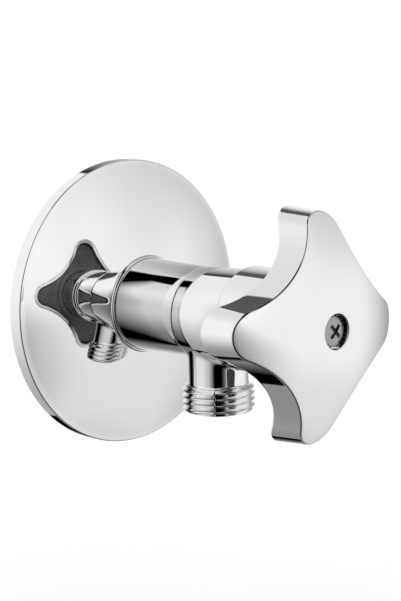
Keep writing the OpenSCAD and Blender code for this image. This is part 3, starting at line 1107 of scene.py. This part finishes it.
class Graph:
    """Shader arithmetic for the tent's pattern. Each method returns an output socket."""

    def __init__(self, tree):
        self.nodes, self.links = tree.nodes, tree.links

    def feed(self, socket, value):
        if isinstance(value, (int, float)):
            socket.default_value = value
        else:
            self.links.new(value, socket)

    def math(self, operation, a, b=None):
        node = self.nodes.new("ShaderNodeMath")
        node.operation = operation
        self.feed(node.inputs[0], a)
        if b is not None:
            self.feed(node.inputs[1], b)
        return node.outputs[0]

    def times(self, a, b):
        return self.math("MULTIPLY", a, b)

    def plus(self, a, b):
        return self.math("ADD", a, b)

    def less(self, amount, share):
        """1 less a share of an amount."""
        return self.math("SUBTRACT", 1.0, self.times(amount, share))

    def blend(self, a, b, share):
        return self.plus(a, self.times(self.math("SUBTRACT", b, a), share))

    def step(self, value, low, high, kind="SMOOTHSTEP"):
        """0 where the value is at low, 1 at high. Low may be the larger one."""
        node = self.nodes.new("ShaderNodeMapRange")
        node.interpolation_type = kind
        self.feed(node.inputs["Value"], value)
        self.feed(node.inputs["From Min"], low)
        self.feed(node.inputs["From Max"], high)
        return node.outputs["Result"]


def make_world():
    """White all round, as background and as even light. The chrome mirrors the tent instead."""
    world = bpy.data.worlds.new("studio")
    bpy.context.scene.world = world
    world.use_nodes = True
    background = world.node_tree.nodes["Background"]
    background.inputs["Color"].default_value = (1, 1, 1, 1)
    background.inputs["Strength"].default_value = 1.15


def tent_directions(g):
    """Azimuth, 0 at the front and +90 at +X, and elevation of a place on the tent, in degrees."""
    split = g.nodes.new("ShaderNodeSeparateXYZ")
    g.links.new(g.nodes.new("ShaderNodeTexCoord").outputs["Object"], split.inputs["Vector"])
    x, y, z = (g.math("DIVIDE", split.outputs[i], TENT_RADIUS) for i in range(3))
    degrees = 180 / math.pi
    elevation = g.times(g.math("ARCSINE", z), degrees)
    azimuth = g.times(g.math("ARCTAN2", x, g.times(y, -1.0)), degrees)
    return azimuth, elevation


def tent_walls(g, az, el):
    """The bright walls. The front one stays bright further down and dims towards its top."""
    side = g.plus(0.28, g.times(g.step(el, -58, 5), 0.67))
    side = g.times(side, g.less(g.step(el, 30, 62), 0.18))
    front = g.math("SUBTRACT", 0.93, g.times(g.step(el, -15, -35), 0.14))
    front = g.math("SUBTRACT", front, g.times(g.step(el, -38, -75), 0.6))
    front = g.times(front, g.less(g.step(el, 15, 55), 0.25))
    front = g.times(front, g.less(g.times(g.step(az, 20, 70), g.step(el, 0, 25)), 0.25))
    front = g.plus(front, g.times(g.times(g.step(az, 15, -10), g.step(el, -5, 8)), 0.12))
    is_front = g.times(g.step(az, -40, -34), g.step(az, 110, 95))
    return g.blend(side, front, is_front)


def tent_right_side(g, az, el):
    """A dip at the right, and the seam behind it: a slow fall to black that ends in a sharp edge."""
    dip = g.less(g.times(g.step(az, 60, 105), g.step(az, 122, 112)), 0.6)
    high = g.step(el, 30, 45)
    fall = g.step(az, g.math("SUBTRACT", 157, g.times(high, 8)), 128, "LINEAR")
    fall = g.math("MAXIMUM", fall, g.times(high, 0.12))
    edge = g.plus(158, g.times(g.step(el, -20, -43), 16))
    edge = g.plus(edge, g.times(g.step(el, 46, 60), 8))
    beyond = g.step(az, g.plus(edge, -1), g.plus(edge, 1))
    return g.times(dip, g.math("MAXIMUM", fall, beyond))


def tent_fold(g, az, el):
    """A faint fold in the wall behind on the left, which leans outwards above and below."""
    centre = g.math("SUBTRACT", -133.2, g.times(g.times(el, el), 0.0105))
    away = g.math("ABSOLUTE", g.math("SUBTRACT", az, centre))
    depth = g.times(g.times(g.step(el, 32, 0), g.step(el, -40, -28)), 0.3)
    return g.less(g.step(away, 4.5, 2.5), depth)


def tent_slit(g, az, el):
    """The dark opening that the camera looks through, with soft edges in its lower part."""
    low = g.step(el, 5, -20)
    shade = g.less(g.times(g.step(az, -105, -85), g.step(el, 45, 10)), 0.25)
    left_end = g.plus(-82, g.times(g.step(el, 10, 40), 10))
    left = g.times(g.step(az, -60, left_end, "LINEAR"), shade)
    right_start = g.math("SUBTRACT", -27, g.times(low, 8))
    right_end = g.plus(-12, g.times(low, 38))
    return g.math("MAXIMUM", left, g.step(az, right_start, right_end))


def tent_ceiling(g, az, el):
    """The tent is closed by a dark ceiling, apart from the part over the front wall."""
    opened = g.times(g.step(az, -22, -5), g.step(az, 125, 100))
    return g.less(g.times(g.step(el, 64, 68), g.less(opened, 1.0)), 1.0)


def make_tent():
    """The light tent that the chrome mirrors. Only reflections see it."""
    mesh = bpy.data.meshes.new("light_tent")
    bm = bmesh.new()
    bmesh.ops.create_icosphere(bm, subdivisions=5, radius=TENT_RADIUS)
    bm.to_mesh(mesh)
    bm.free()
    mesh.shade_smooth()
    tent = bpy.data.objects.new("light_tent", mesh)
    tent.location = TENT_CENTRE
    bpy.context.scene.collection.objects.link(tent)
    material = bpy.data.materials.new("light_tent")
    material.use_nodes = True
    material.node_tree.nodes.clear()
    g = Graph(material.node_tree)
    az, el = tent_directions(g)
    level = g.times(tent_walls(g, az, el), tent_right_side(g, az, el))
    level = g.times(level, tent_fold(g, az, el))
    level = g.times(level, tent_slit(g, az, el))
    level = g.times(level, tent_ceiling(g, az, el))
    glow = g.nodes.new("ShaderNodeEmission")
    g.links.new(level, glow.inputs["Strength"])
    output = g.nodes.new("ShaderNodeOutputMaterial")
    g.links.new(glow.outputs["Emission"], output.inputs["Surface"])
    mesh.materials.append(material)
    tent.visible_camera = False
    tent.visible_diffuse = False
    tent.visible_shadow = False
    tent.visible_transmission = False


# ---------------------------------------------------------------------------
# Assembly
# ---------------------------------------------------------------------------
bpy.context.scene.view_settings.view_transform = "Standard"
make_camera()
make_floor()
make_world()
make_tent()

paint_cad_nodes()
finish_piece(make_valve_body(), "valve", "chrome_plate", "valve_body")
finish_piece(make_seal_ring(), "valve", "ptfe", "inlet_seal_ring")
finish_piece(make_rosette(), "rosette", "chrome_plate", "rosette")
o_ring = make_torus("rosette_o_ring_rubber", O_RING_INNER_R, O_RING_SECTION, O_RING_S)
finish_piece(o_ring, "rosette", "rubber", "rosette_o_ring")
finish_handle()
finish_piece(make_screw(), "handle", "steel", "handle_screw")
